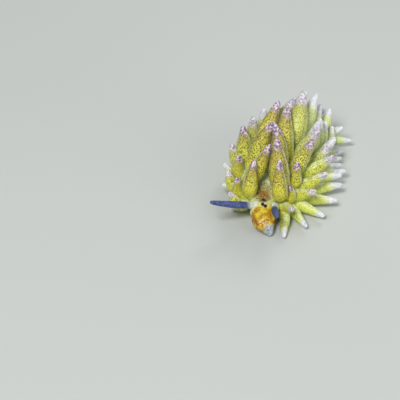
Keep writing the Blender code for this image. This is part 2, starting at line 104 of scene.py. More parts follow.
def addNode(tree, kind, inputs=None, **settings):
    node = tree.nodes.new("ShaderNode" + kind)
    for key, value in settings.items():
        setattr(node, key, value)
    for key, value in (inputs or {}).items():
        if isinstance(value, bpy.types.NodeSocket):
            tree.links.new(value, node.inputs[key])
        else:
            node.inputs[key].default_value = value
    return node.outputs


dotCore = 0.6  # part of a dot's radius that has its full colour


def perMetre(sizeInMm):  # a pattern's scale for features of this size, on metre coordinates
    return 1.0 / (sizeInMm * mm)


def joinFactors(tree, patterns, factors, operation="MULTIPLY"):
    # a factor is a pattern's name; after it, a share of the pattern, or the span of it that counts
    # and what the ends of that span become, 0 and 1 if not given
    joined = None
    for name, *numbers in factors:
        value = patterns[name]
        if len(numbers) == 1:
            value = addNode(tree, "Math", {0: value, 1: numbers[0]}, operation="MULTIPLY")[0]
        elif numbers:
            low, high, lowOut, highOut = (*numbers, 0.0, 1.0)[:4]
            value = addNode(tree, "MapRange", {0: value, 1: low, 2: high, 3: lowOut, 4: highOut},
                            clamp=True)[0]
        if joined is not None:
            value = addNode(tree, "Math", {0: joined, 1: value}, operation=operation)[0]
        joined = value
    return joined


def makePatterns(tree, look):
    # patterns by name: values that the mesh carries; noise as (size in mm, detail, roughness); dots as
    # (spacing in mm, radius in parts of it, share of the cells that have one); joins of earlier ones
    place = addNode(tree, "TexCoord")["Object"]
    patterns = {}
    for name in look.get("meshValues", ()):
        patterns[name] = addNode(tree, "Attribute", attribute_name=name)["Fac"]
    for name, (size, detail, roughness) in look["noise"].items():
        patterns[name] = addNode(tree, "TexNoise", {
            "Vector": place, "Scale": perMetre(size), "Detail": detail, "Roughness": roughness})["Fac"]
    for name, (spacing, radius, share) in look.get("dots", {}).items():
        cells = addNode(tree, "TexVoronoi", {"Vector": place, "Scale": perMetre(spacing)})
        dot = addNode(tree, "MapRange", {0: cells["Distance"], 1: radius, 2: radius * dotCore},
                      clamp=True)
        draw = addNode(tree, "SeparateColor", {0: cells["Color"]})
        chosen = addNode(tree, "Math", {0: draw[0], 1: share}, operation="LESS_THAN")
        patterns[name] = addNode(tree, "Math", {0: dot[0], 1: chosen[0]}, operation="MULTIPLY")[0]
    for name, (operation, *factors) in look.get("joined", {}).items():
        patterns[name] = joinFactors(tree, patterns, factors, operation)
    return patterns


def paintCoats(tree, patterns, coats):
    # a coat is a colour and the factors that say where it covers the coats before it. A colour is a
    # hex value, two of them and the factor that blends them, or a list of coats
    colour = None
    for fresh, *factors in coats:
        if isinstance(fresh, list):
            fresh = paintCoats(tree, patterns, fresh)
        elif isinstance(fresh, str):
            fresh = srgb(fresh)
        else:
            share = joinFactors(tree, patterns, fresh[2:])
            fresh = addNode(tree, "Mix", {0: share, 6: srgb(fresh[0]), 7: srgb(fresh[1])},
                            data_type="RGBA")[2]
        if colour is None:
            colour = fresh
        else:
            share = joinFactors(tree, patterns, factors)
            colour = addNode(tree, "Mix", {0: share, 6: colour, 7: fresh}, data_type="RGBA")[2]
    return colour


def makeMaterial(look):
    material = bpy.data.materials.new(look["name"])
    material.use_nodes = True
    tree = material.node_tree
    shader = tree.nodes["Principled BSDF"]
    for key, value in look["shader"].items():
        shader.inputs[key].default_value = value
    patterns = makePatterns(tree, look)
    tree.links.new(paintCoats(tree, patterns, look["coats"]), shader.inputs["Base Color"])
    if "bump" in look:
        pattern, depthInMm = look["bump"]
        bump = addNode(tree, "Bump", {"Height": patterns[pattern], "Distance": depthInMm * mm,
                                      "Strength": 1.0})
        tree.links.new(bump[0], shader.inputs["Normal"])
    return material


print("tools for the materials ready")


# the body's own measures, as in the solids

body = {
    "length": 9.6,
    "neckTurn": -50.0,
    "neckFade": 0.8,
    "tailTurn": 44.0,
    "tailTurnStart": 1.2,
    "steps": 400,
    "smoothing": 30,
    # distance from the snout, half width, height of the back
    "sections": ((0.00, 0.08, 0.46), (0.15, 0.24, 0.64), (0.50, 0.42, 0.92), (0.85, 0.56, 1.14),
                 (1.20, 0.65, 1.26), (1.60, 0.66, 1.30), (2.10, 0.76, 1.38), (3.00, 0.92, 1.60),
                 (4.20, 1.00, 1.80), (5.60, 0.92, 1.70), (7.00, 0.70, 1.35), (8.40, 0.40, 0.92),
                 (9.00, 0.27, 0.74), (9.60, 0.09, 0.60)),
    "widestShare": 0.45,
    "underside": 0.05,
    "lowestWidest": 0.58,
    "lowestWidestFrom": 6.1,
    "heart": {"s": 2.15, "length": 0.32, "angle": 26.0, "height": 0.10},
}
foot = {
    "front": 0.75,
    "end": 9.6,
    "widthShare": 0.82,
    "rings": 34,
    "crowding": 1.4,
    "rounding": 0.6,
    "narrowest": 0.08,
}


def ramp(value, start, end):
    # 0 before start, 1 after end, smooth between
    t = np.clip((value - start) / (end - start), 0.0, 1.0)
    return t * t * (3.0 - 2.0 * t)


def smoothed(values, rounds):
    values = values.copy()
    for _ in range(rounds):
        values[1:-1] = (values[:-2] + 2.0 * values[1:-1] + values[2:]) / 4.0
    return values


def unit(v):
    v = np.asarray(v, dtype=float)
    return v / np.linalg.norm(v, axis=-1, keepdims=True)


def makeCentreline():
    # heading = neck turn fading from the snout + tail turn growing to the tail; summed to a path.
    # s is the distance from the snout along it
    s = np.linspace(0.0, body["length"], body["steps"])
    tail = ramp(s, body["tailTurnStart"], body["length"])
    heading = np.radians(body["neckTurn"] * np.exp(-s / body["neckFade"]) + body["tailTurn"] * tail)
    middle = (heading[1:] + heading[:-1]) / 2.0
    step = s[1] - s[0]
    x = np.concatenate([[0.0], np.cumsum(np.sin(middle) * step)])
    y = np.concatenate([[0.0], np.cumsum(np.cos(middle) * step)])
    known, *columns = np.array(body["sections"]).T
    width, top = (smoothed(np.interp(s, known, column), body["smoothing"]) for column in columns)
    return {"s": s, "x": x, "y": y, "heading": heading, "width": width, "top": top}


line = makeCentreline()


def onLine(s, key):
    return np.interp(s, line["s"], line[key])


def directions(s, side=1.0):
    heading = onLine(s, "heading")
    level = np.zeros_like(heading)
    back = np.stack([np.sin(heading), np.cos(heading), level], -1)
    out = np.stack([np.cos(heading), -np.sin(heading), level], -1) * side
    return back, out


def linePoint(s, height=0.0):
    return np.stack([onLine(s, "x"), onLine(s, "y"), height + 0.0 * onLine(s, "x")], -1)


def sectionMiddle(s):
    top = onLine(s, "top")
    middle = body["underside"] + body["widestShare"] * (top - body["underside"])
    return np.where(s > body["lowestWidestFrom"], np.maximum(middle, body["lowestWidest"]), middle)


def skinPoint(s, angle):
    # two half ellipses, one above and one below the widest height, on the centreline at s,
    # and a low swelling over the heart
    s, angle = np.broadcast_arrays(np.asarray(s, dtype=float), angle)
    heart = body["heart"]
    near = ((s - heart["s"]) / heart["length"]) ** 2 + (angle / math.radians(heart["angle"])) ** 2
    extra = heart["height"] * np.exp(-near)
    middle = sectionMiddle(s)
    height = np.where(np.cos(angle) > 0.0, onLine(s, "top") - middle, middle - body["underside"])
    _, out = directions(s)
    reach = (onLine(s, "width") + extra) * np.sin(angle)
    return linePoint(s, middle + (height + extra) * np.cos(angle)) + out * reach[..., None]


def footMargin():
    # half width of the foot = share of the body's, times the square root of the way in
    share = np.linspace(0.0, 1.0, foot["rings"]) ** foot["crowding"]
    s = foot["front"] + (foot["end"] - foot["front"]) * share
    front = np.sqrt(np.clip((s - foot["front"]) / foot["rounding"], 0.0, 1.0))
    half = np.maximum(onLine(s, "width") * foot["widthShare"] * front, foot["narrowest"])
    _, out = directions(s)
    return np.concatenate([linePoint(s) + out * half[:, None], linePoint(s) - out * half[:, None]])


footLow = np.array(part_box("foot")[0]) / mm
offset = footLow - footMargin().min(axis=0)
offset[2] = 0.0
print("layout moved into the frame by", np.round(offset, 3), "mm")


def loftMesh(name, rings, values, material):
    # one mesh of tubes from rings[tube, ring, around], closed at each end by the mean of the ring;
    # values holds one number for each ring point, by name
    tubes, count, sides = rings.shape[:3]
    index = np.arange(tubes * count * sides).reshape(tubes, count, sides)
    after = np.roll(index, -1, axis=2)
    quads = np.stack([index[:, :-1], after[:, :-1], after[:, 1:], index[:, 1:]], -1).reshape(-1, 4)
    firstPole = (index.size + np.arange(tubes))[:, None] + 0 * index[:, 0]
    lastPole = firstPole + tubes
    fans = np.concatenate([
        np.stack([after[:, 0], index[:, 0], firstPole], -1).reshape(-1, 3),
        np.stack([index[:, -1], after[:, -1], lastPole], -1).reshape(-1, 3)])
    points = np.concatenate([rings.reshape(-1, 3), rings[:, 0].mean(1), rings[:, -1].mean(1)])
    a, b, c = (points[quads[:, k]] - points.mean(0) for k in (0, 1, 2))
    if np.einsum("ij,ij->", a, np.cross(b, c)) < 0.0:
        quads = quads[:, ::-1]
        fans = fans[:, ::-1]
    mesh = bpy.data.meshes.new(name)
    mesh.from_pydata(((points + offset) * mm).tolist(), [], quads.tolist() + fans.tolist())
    for key, value in values.items():
        value = np.broadcast_to(value, rings.shape[:3])
        column = np.concatenate([value.reshape(-1), value[:, 0].mean(1), value[:, -1].mean(1)])
        mesh.attributes.new(key, "FLOAT", "POINT").data.foreach_set("value", column)
    mesh.shade_smooth()
    mesh.materials.append(material)
    made = bpy.data.objects.new(name, mesh)
    bpy.context.scene.collection.objects.link(made)
    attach(made, "root")
    return made


def surfaceNormals(grid):
    # across a closed grid: next point around x next ring
    around = np.roll(grid, -1, axis=1) - np.roll(grid, 1, axis=1)
    along = np.gradient(grid, axis=0)
    return unit(np.cross(around, along) + 1e-12)


# the rhinophores' places, which the head's skin and the plan of the cerata need too

horns = {
    "right": {"s": 1.40, "angle": -50.0, "length": 2.55, "toward": (-0.80, -0.50, 0.33), "curl": 0.18},
    "left": {"s": 1.20, "angle": 54.0, "length": 2.30, "toward": (0.12, -0.90, 0.42), "curl": 0.10},
}


def hornPath(horn, along):
    # straight out from the skin, rising with the square of the way
    root = skinPoint(np.array(horn["s"]), math.radians(horn["angle"]))
    share = np.clip(along / horn["length"], 0.0, 1.0)
    return root + unit(horn["toward"]) * along[:, None] + up * (horn["curl"] * share ** 2)[:, None]


# the skin of head, back, tail and foot

skin = {
    "headRings": 150,
    "bodyRings": 150,
    "around": 132,
    "headEnd": 2.2,
    "crowding": 1.3,  # of the rings toward the snout
    "ends": 0.002,  # how far the first and last ring stay from the line's ends
    "noseRound": 0.05,
    "tailPoint": 1.1,
    "tailRound": 0.8,
    "tailFrom": 5.0,
    "tailHeight": 0.10,
    "footFrom": 0.55,
    "footFull": 0.95,
    "arcShare": 0.62,  # share of the way round that is back and side, above the foot's crease
    # share of the way from crease to the middle of the sole, part of the width, height
    "footPath": ((0.0, 0.87, 0.40), (0.10, 0.75, 0.375), (0.22, 0.79, 0.31), (0.34, 0.82, 0.19),
                 (0.42, 0.815, 0.08), (0.50, 0.76, 0.004), (1.0, 0.0, 0.0)),
    "footTurn": 135.0,  # the angle from the top that the foot counts as, in degrees
    "ripple": 0.02,
    "softening": 3,
    "snoutFloor": 0.12,
    "mouth": {"s": 0.15, "depth": 0.09, "width": 0.028, "lips": 0.055, "lipWidth": 0.075,
              "halfAngle": 66.0},
    # the cheek on the side that the head turns to is the fuller one
    "cheek": {"s": 0.66, "length": 0.32, "angle": 82.0, "spread": 36.0, "left": 0.02, "right": 0.16},
    "hornMound": 0.05,
    "hornMoundWidth": 0.28,
    "eyeReach": 0.22,
    "socket": 0.075,
    "socketReach": 0.10,
    "folds": 0.010,
    "foldsFrom": (0.25, 0.45),  # height over which they set in
    # brown marks behind the eyes: middle and reach along the body in mm, reach round it in radians
    "spot": (1.47, 0.15, 0.30),
    "patch": (1.76, 0.32, 0.50),
    "speckled": (2.2, 0.50, 0.55),
}


def sectionShape(s, turn):
    # turn runs from -1 to 1 round the section, 0 at the top. A section is an ellipse at the snout
    # and, from the foot's front on, an arc down to a crease, then the foot's margin and sole
    side = np.sign(turn)
    way = np.abs(turn)
    width, top, middle = onLine(s, "width"), onLine(s, "top"), sectionMiddle(s)
    under = middle - body["underside"]
    heart = body["heart"]
    footShare, footWide, footHigh = np.array(skin["footPath"]).T
    angle = np.pi * way
    plainX = width * np.sin(angle)
    plainZ = middle + np.where(np.cos(angle) > 0.0, top - middle, under) * np.cos(angle)
    plainZ = np.maximum(plainZ, skin["snoutFloor"])
    creaseAngle = np.arccos(np.clip((footHigh[0] - middle) / under, -0.95, 0.95))
    arc = np.clip(way / skin["arcShare"], 0.0, 1.0) * creaseAngle
    near = ((s - heart["s"]) / heart["length"]) ** 2 + (arc / math.radians(heart["angle"])) ** 2
    swell = heart["height"] * np.exp(-near)
    arcX = (width + swell) * np.sin(arc)
    arcZ = middle + (np.where(np.cos(arc) > 0.0, top - middle, under) + swell) * np.cos(arc)
    rest = np.clip((way - skin["arcShare"]) / (1.0 - skin["arcShare"]), 0.0, 1.0)
    front = np.sqrt(np.clip((s - skin["footFrom"]) / foot["rounding"], 0.0, 1.0))
    ripple = 1.0 + skin["ripple"] * np.sin(s * 5.1) * np.sin(s * 1.7 + side)
    onFoot = way > skin["arcShare"]
    fullX = np.where(onFoot, width * np.interp(rest, footShare, footWide) * front * ripple, arcX)
    fullZ = np.where(onFoot, np.interp(rest, footShare, footHigh), arcZ)
    full = ramp(s, skin["footFrom"], skin["footFull"])
    x = (1.0 - full) * plainX + full * fullX
    z = (1.0 - full) * plainZ + full * fullZ
    for _ in range(skin["softening"]):
        z = (np.roll(z, 1, 1) + 2.0 * z + np.roll(z, -1, 1)) / 4.0
    fullAngle = np.where(onFoot, math.radians(skin["footTurn"]), arc)
    return x * side, z, (fullAngle * full + angle * (1.0 - full)) * side


def faceLift(s, angle):
    # lips round a groove low on the snout, and a cheek on each side
    mouth, cheek = skin["mouth"], skin["cheek"]
    window = ramp(np.abs(angle), np.pi - math.radians(mouth["halfAngle"]), np.pi)
    groove = np.exp(-((s - mouth["s"]) / mouth["width"]) ** 2) * mouth["depth"]
    lips = np.exp(-((s - mouth["s"]) / mouth["lipWidth"]) ** 2) * mouth["lips"]
    sideways = (np.abs(angle) - math.radians(cheek["angle"])) / math.radians(cheek["spread"])
    full = np.where(angle > 0.0, cheek["left"], cheek["right"])
    return (lips - groove) * window + full * np.exp(
        -((s - cheek["s"]) / cheek["length"]) ** 2 - sideways ** 2)


def nearness(grid, places, reach):
    # 1 at the nearest of the places, falling off as a bell with this reach in mm
    return np.max([np.exp(-(np.linalg.norm(grid - place, axis=-1) / reach) ** 2) for place in places], 0)


def makeSkin(material):
    nose = np.linspace(0.0, 1.0, skin["headRings"]) ** skin["crowding"] * skin["headEnd"]
    rest = np.linspace(skin["headEnd"], body["length"], skin["bodyRings"] + 1)[1:]
    s = np.clip(np.concatenate([nose, rest]), skin["ends"], body["length"] - skin["ends"])
    turn = np.linspace(-1.0, 1.0, skin["around"], endpoint=False)
    s, turn = np.meshgrid(s, turn, indexing="ij")
    x, z, angle = sectionShape(s, turn)
    # the sections shrink to a round nose and a pointed tail
    blunt = np.sqrt(1.0 - (1.0 - np.clip(s / skin["noseRound"], 0.0, 1.0)) ** 2)
    toEnd = np.clip((body["length"] - s) / skin["tailPoint"], 0.0, 1.0)
    blunt = blunt * np.sin(0.5 * np.pi * toEnd) ** skin["tailRound"]
    centreZ = np.where(s > skin["tailFrom"], skin["tailHeight"], z.mean(1, keepdims=True))
    z = np.maximum(centreZ + (z - centreZ) * blunt, 0.0)
    _, out = directions(s)
    grid = linePoint(s) + out * (x * blunt)[..., None]
    grid[..., 2] = z
    normal = surfaceNormals(grid)
    if np.sum(normal[:, skin["around"] // 2, 2]) < 0.0:
        normal = -normal
    eyes = [boxMiddle(node) - offset for node in ("eye_left", "eye_right")]
    collars = [hornPath(horn, np.zeros(1)) for horn in horns.values()]
    nearHorns = nearness(grid, collars, skin["hornMoundWidth"])
    # folds: waves along the body times waves round it, in two sizes
    waves = (np.sin(s * 13.0 + 3.0 * np.sin(angle * 3.0)) * np.sin(angle * 5.0 + s * 2.3)
             + 0.6 * np.sin(s * 29.0 + 2.0 * np.sin(angle * 7.0)) * np.sin(angle * 11.0))
    lift = faceLift(s, angle) + skin["hornMound"] * nearHorns
    for eyePlace in eyes:
        lift = lift - skin["socket"] * nearness(grid, [eyePlace], skin["socketReach"])
    lift = lift + skin["folds"] * waves * ramp(z, *skin["foldsFrom"])
    values = {
        "fromSnout": s,
        "fromTop": np.abs(angle),
        "nearEyes": nearness(grid, eyes, skin["eyeReach"]),
        "nearHorns": nearHorns,
    }
    grid = grid + normal * (lift * blunt)[..., None]
    grid[..., 2] = np.maximum(grid[..., 2], 0.0)
    values["height"] = grid[..., 2]
    for key in ("spot", "patch", "speckled"):
        at, reach, spread = skin[key]
        values[key] = np.exp(-((s - at) / reach) ** 2 - (angle / spread) ** 2)
    return loftMesh("slug_skin", grid[None], values, material)


# wet mollusc skin: a thin clear layer over pigment grains, glossy with water
skinLook = {
    "name": "wetSlugSkin",
    "shader": {"Roughness": 0.42, "IOR": 1.38, "Coat Weight": 0.3, "Coat Roughness": 0.16,
               "Subsurface Weight": 0.35, "Subsurface Scale": 0.25 * mm,
               "Subsurface Radius": (1.0, 0.7, 0.35)},
    "meshValues": ("fromSnout", "fromTop", "nearEyes", "nearHorns", "height", "patch", "speckled",
                   "spot"),
    "noise": {"mottle": (0.22, 3.0, 0.6), "grain": (0.07, 2.0, 0.6)},
    "dots": {"grains": (0.085, 0.42, 0.6)},
    "joined": {
        "wander": ("ADD", ("mottle", 0.22), ("fromSnout",)),
        "marks": ("MAXIMUM", ("speckled", 0.15, 0.75), ("patch", 0.05, 0.6)),
    },
    "coats": (
        # the head's ochre and yellow, browner low on its sides
        (("#9C6202", "#E2C61C", ("mottle", 0.38, 0.62)),),
        ("#F3E272", ("grain", 0.56, 0.70, 0.0, 0.7)),
        ("#8E4E0E", ("fromTop", 0.8, 1.6), ("mottle", 0.62, 0.38, 0.15, 1.0)),
        # grey snout; pale neck, collars and place of the eyes; pale back, painted paler still as painted
        # light
        (("#75818F", "#C3CCD6", ("grain", 0.42, 0.60)), ("wander", 0.44, 0.26)),
        (("#D3D886", "#EFF1C6", ("mottle", 0.35, 0.65)), ("wander", 1.18, 1.42)),
        ("#DDE2BC", ("nearHorns", 0.62, 0.98, 0.0, 0.7)),
        ("#E6E08E", ("nearEyes", 0.45, 0.9, 0.0, 0.7)),
        # the back: its own pale green-white, made paler as painted light that offsets the shade between
        # the cerata
        (("#D6E49C", "#FAFCEA", ("mottle", 0.3, 0.7)), ("fromSnout", 1.8, 2.4)),
        # brown marks from just behind the eyes down the middle of the back
        ("#B0922A", ("speckled", 0.15, 0.75), ("mottle", 0.3, 0.7, 0.35, 0.85)),
        ("#8A5A00", ("patch", 0.05, 0.6), ("grain", 0.40, 0.60, 0.6, 1.0)),
        ("#3A2210", ("grains",), ("marks", 0.0, 0.6, 0.10, 0.95)),
        ("#33200F", ("spot", 0.10, 0.75, 0.0, 0.95), ("mottle", 0.36, 0.56, 0.45, 1.0)),
        # the plain pale sole
        (("#AEB892", "#D5DBBF", ("mottle", 0.3, 0.7)), ("height", 0.52, 0.30),
         ("fromSnout", 0.90, 1.40, 0.2, 1.0)),
    ),
    "bump": ("grain", 0.014),
}

skinPiece = makeSkin(makeMaterial(skinLook))
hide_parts("head", "trunk_front", "trunk_middle", "trunk_rear", "tail", "foot")
print("skin:", len(skinPiece.data.polygons), "faces")


# eyes: two glossy black beads

eye = {"rings": 24, "sides": 32, "grown": 1.12}  # larger than the solid's: the two beads just touch


def makeEye(node, material):
    # sphere: ring radius = r cos(latitude), height = r sin(latitude)
    low, high = (np.array(corner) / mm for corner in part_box(node))
    middle, radius = (low + high) / 2.0, (high - low)[2] / 2.0 * eye["grown"]
    latitude = np.linspace(-0.5, 0.5, eye["rings"] + 2)[1:-1] * np.pi
    turn = np.linspace(0.0, 2.0 * np.pi, eye["sides"], endpoint=False)
    ring = np.stack([np.cos(turn), np.sin(turn), 0.0 * turn], -1)
    rings = np.cos(latitude)[:, None, None] * ring + np.sin(latitude)[:, None, None] * up
    made = loftMesh(node + "_bead", (middle - offset + rings * radius)[None], {}, material)
    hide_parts(node)


# black pigment cup under clear skin: near black, mirror-like with water
eyeLook = {
    "name": "blackEyeBead",
    "shader": {"Roughness": 0.16, "IOR": 1.40, "Coat Weight": 0.4, "Coat Roughness": 0.04},
    "noise": {"cloud": (0.05, 2.0, 0.5)},
    "coats": ((("#050406", "#150F12", ("cloud",)),),),
}
eyeMaterial = makeMaterial(eyeLook)
for eyeNode in ("eye_left", "eye_right"):
    makeEye(eyeNode, eyeMaterial)
print("eyes done")


# tubes along a path

def framesAlong(paths, broad):
    # no-twist frames: the across direction turns only as the path itself turns
    tangent = unit(np.gradient(paths, axis=1))
    across = unit(np.cross(tangent[:, 0], broad))
    rows = []
    for k in range(paths.shape[1]):
        ahead = tangent[:, k]
        across = unit(across - ahead * np.sum(across * ahead, -1, keepdims=True))
        rows.append(across)
    across = np.stack(rows, 1)
    return across, np.cross(tangent, across)


def tubeRings(paths, broad, turn, radiusAcross, radiusThick):
    # ring point = path + cos(turn) * across * radius + sin(turn) * other * thickness
    across, other = framesAlong(paths, broad)
    rings = (paths[:, :, None] + across[:, :, None] * (np.cos(turn) * radiusAcross)[..., None]
             + other[:, :, None] * (np.sin(turn) * radiusThick)[..., None])
    return rings, other


# rhinophores: solid feelers that grow from a pale collar of the head's skin

feeler = {
    "rings": 90,
    "sides": 28,
    "sunk": 0.16,
    # way from the skin in mm, radius; then share of the length, radius in mm
    "collar": ((-0.16, 0.27), (0.0, 0.225), (0.08, 0.195), (0.15, 0.178), (0.22, 0.168)),
    "shaft": ((0.30, 0.182), (0.55, 0.170), (0.80, 0.136), (0.93, 0.106), (0.98, 0.076), (1.0, 0.015)),
    "lumps": 0.025,
    "past": 0.03,  # how far the tip passes the solid's measured length
    "crowding": 1.35,  # of the rings toward the tip
    "smoothing": 4,
}


def makeRhinophores(material):
    turn = np.linspace(0.0, 2.0 * np.pi, feeler["sides"], endpoint=False)
    for name, horn in horns.items():
        reach = horn["length"] + feeler["past"]
        table = feeler["collar"] + tuple((u * reach, radius) for u, radius in feeler["shaft"])
        dense = 1.0 - (1.0 - np.linspace(0.0, 1.0, feeler["rings"])) ** feeler["crowding"]
        along = -feeler["sunk"] + (reach + feeler["sunk"]) * dense
        radius = smoothed(np.interp(along, *np.array(table).T), feeler["smoothing"])
        # lumps: waves along the feeler times waves round it, in two sizes
        lumps = (np.sin(along[:, None] * 41.0 + 2.0 * np.sin(turn * 3.0)) * np.sin(turn * 7.0)
                 + np.sin(along[:, None] * 67.0) * np.sin(turn * 5.0 + along[:, None] * 9.0))
        wide = (radius[:, None] * (1.0 + feeler["lumps"] * lumps))[None]
        rings, _ = tubeRings(hornPath(horn, along)[None], up, turn, wide, wide)
        piece = loftMesh("rhinophore_skin_" + name, rings, {"fromRoot": along[:, None]}, material)
        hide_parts("rhinophore_" + name)


# wet skin packed with blue-violet grains, clear and whitish at the collar
feelerLook = {
    "name": "grainyVioletSkin",
    "shader": {"Roughness": 0.55, "IOR": 1.34, "Coat Weight": 0.05, "Coat Roughness": 0.14,
               "Subsurface Weight": 0.2, "Subsurface Scale": 0.12 * mm},
    "meshValues": ("fromRoot",),
    "noise": {"mottle": (0.16, 3.0, 0.6), "grain": (0.05, 2.0, 0.6)},
    "dots": {"pale": (0.075, 0.40, 0.5), "dark": (0.065, 0.42, 0.45), "sprinkled": (0.070, 0.45, 0.7)},
    "joined": {"wander": ("ADD", ("mottle", 0.6), ("fromRoot",))},
    "coats": (
        (("#2B3A6C", "#5A6AA2", ("mottle", 0.3, 0.7)),),
        ("#A6AFD4", ("pale", 0.6)),
        ("#201C38", ("dark", 0.75)),
        (("#C6CCB8", "#EEF1E4", ("mottle", 0.4, 0.6)), ("wander", 0.82, 0.52, 0.0, 0.92)),
        ("#4A5690", ("sprinkled",), ("fromRoot", 0.22, 0.45, 0.0, 0.8)),
    ),
    "bump": ("grain", 0.012),
}

makeRhinophores(makeMaterial(feelerLook))
print("rhinophores done")


# cerata: the plan, the same as the solids'

cuts = (1.65, 3.6, 6.1, 8.0)  # where one stretch of the body ends and the next begins
# a row runs from first to last along the body; a pair is its angle in degrees in front and behind
rows = (
    {"side": 1, "angle": (62, 62), "first": 2.05, "last": 2.05, "count": 1, "length": 3.4,
     "width": 0.94, "rise": (84, 84), "lean": (-12, -12), "fade": 1.0, "small": 0.95, "crowd": 1.0,
     "bend": 0.2},
    {"side": 1, "angle": (54, 24), "first": 2.65, "last": 8.3, "count": 7, "length": 3.5,
     "width": 1.22, "rise": (96, 90), "lean": (4, 46), "fade": 0.5, "small": 0.94, "crowd": 1.0,
     "bend": 0.2},
    {"side": 1, "angle": (88, 56), "first": 1.95, "last": 8.5, "count": 8, "length": 3.0,
     "width": 1.00, "rise": (60, 60), "lean": (-36, 44), "fade": 0.35, "small": 0.60, "crowd": 1.0,
     "bend": 0.6},
    {"side": 1, "angle": (94, 80), "first": 2.00, "last": 8.7, "count": 9, "length": 2.85,
     "width": 0.88, "rise": (20, 28), "lean": (-62, 42), "fade": 0.25, "small": 0.74, "crowd": 1.25,
     "bend": 0.4},
    {"side": 1, "angle": (104, 98), "first": 1.95, "last": 8.9, "count": 11, "length": 2.95,
     "width": 0.80, "rise": (-12, 4), "lean": (-80, 42), "fade": 0.3, "small": 0.84, "crowd": 1.5,
     "bend": 0.1},
    {"side": -1, "angle": (44, 44), "first": 2.05, "last": 2.05, "count": 1, "length": 3.0,
     "width": 1.00, "rise": (90, 90), "lean": (2, 2), "fade": 1.0, "small": 0.80, "crowd": 1.0,
     "bend": 0.2},
    {"side": -1, "angle": (40, 24), "first": 2.65, "last": 8.2, "count": 7, "length": 3.3,
     "width": 1.12, "rise": (106, 96), "lean": (4, 46), "fade": 0.4, "small": 0.94, "crowd": 1.0,
     "bend": 0.2},
    {"side": -1, "angle": (64, 52), "first": 2.10, "last": 8.4, "count": 8, "length": 2.6,
     "width": 0.98, "rise": (66, 76), "lean": (-8, 48), "fade": 0.5, "small": 0.70, "crowd": 1.0,
     "bend": 0.35},
    {"side": -1, "angle": (82, 76), "first": 2.00, "last": 8.6, "count": 8, "length": 2.15,
     "width": 0.88, "rise": (36, 54), "lean": (-18, 48), "fade": 0.45, "small": 0.74, "crowd": 1.0,
     "bend": 0.35},
    {"side": -1, "angle": (98, 98), "first": 1.95, "last": 8.8, "count": 8, "length": 1.95,
     "width": 0.74, "rise": (2, 22), "lean": (-30, 44), "fade": 0.4, "small": 0.74, "crowd": 1.0,
     "bend": 0.35},
)
growth = {
    "seed": 7,
    "steepRise": 78,
    "highAngle": 24.0,  # of the topmost and of the lowest row at the tail: how far out a row is
    "lowAngle": 98.0,
    "rearSpan": 6.5,  # length in mm over which a ceras counts as further and further behind
    "widthOfSmall": 0.3,
    "riseJitter": 5.0,
    "sizeJitter": 0.06,
    "fullSizeAt": 0.30,
    "shrinkToTail": 0.45,
    "shrinkFrom": 0.55,
    "rootDepth": 0.16,
    "rootToCut": 0.05,
    "bendUp": 0.8,
    "bendBack": 0.25,
    "gap": 0.2,
    # share of the length, part of the half width
    "profile": ((0.0, 0.56), (0.12, 0.78), (0.28, 0.97), (0.45, 1.00), (0.64, 0.86), (0.82, 0.54),
                (0.93, 0.28), (1.0, 0.05)),
    "joints": 7,
    "steps": 220,
    "pushShare": 0.29,
    "pullHome": 0.01,
    "straighten": 0.15,
    "radiusShare": 0.92,
    "gapInNode": 0.03,
    "floorClearance": 0.12,
    "free": (1.6, -0.1),  # how soon an axis is free to move: slope and start of a straight rise
    "firstBall": 0.2,
    "lastBall": 9.1,
    "ballStep": 0.3,
    "bodyBall": 0.95,
    "marginBall": 0.2,
    "hornBall": 0.27,
    "hornBallsAt": (0.0, 0.18, 0.45, 0.75, 0.93, 1.0),
}


def clearOfCuts(s, radius):
    need = growth["gap"] / 2.0 + radius + growth["rootToCut"]
    for cut in cuts[1:]:
        if abs(s - cut) < need:
            return cut + math.copysign(need, s - cut)
    return max(s, cuts[0] + need)


def planCerata():
    rng = np.random.default_rng(growth["seed"])
    plan = []
    for row in rows:
        for t in np.linspace(0.0, 1.0, row["count"]):
            size = row["small"] + (1.0 - row["small"]) * ramp(t, 0.0, growth["fullSizeAt"])
            late = ramp(t, growth["shrinkFrom"], 1.0)
            size = size * (1.0 - growth["shrinkToTail"] * late)
            size = size * rng.uniform(1.0 - growth["sizeJitter"], 1.0 + growth["sizeJitter"])
            width = row["width"] * (growth["widthOfSmall"] + (1.0 - growth["widthOfSmall"]) * size)
            s = row["first"] + (row["last"] - row["first"]) * t ** row["crowd"]
            s = clearOfCuts(s, growth["profile"][0][1] * width / 2.0)
            turn = math.exp(-t / row["fade"])
            angle, rise, lean = (
                math.radians(row[key][1] + (row[key][0] - row[key][1]) * turn)
                for key in ("angle", "rise", "lean"))
            rise = rise + math.radians(rng.uniform(-growth["riseJitter"], growth["riseJitter"]))
            back, out = directions(np.array(s), row["side"])
            steep = row["rise"][1] > growth["steepRise"]
            if steep:
                toward = math.sin(rise) * (math.cos(lean) * up + math.sin(lean) * back)
                toward = toward + math.cos(rise) * out
            else:
                toward = math.cos(rise) * (math.cos(lean) * out + math.sin(lean) * back)
                toward = toward + math.sin(rise) * up
            outer = (row["angle"][1] - growth["highAngle"]) / (growth["lowAngle"] - growth["highAngle"])
            plan.append({
                "root": skinPoint(np.array(s), angle * row["side"]),
                "toward": unit(toward), "back": back, "bend": row["bend"],
                "length": row["length"] * size, "width": width,
                "low": 0.0 if steep else outer, "rear": (s - row["first"]) / growth["rearSpan"],
                "part": int(np.searchsorted(cuts, s, side="right")),
            })
    return plan


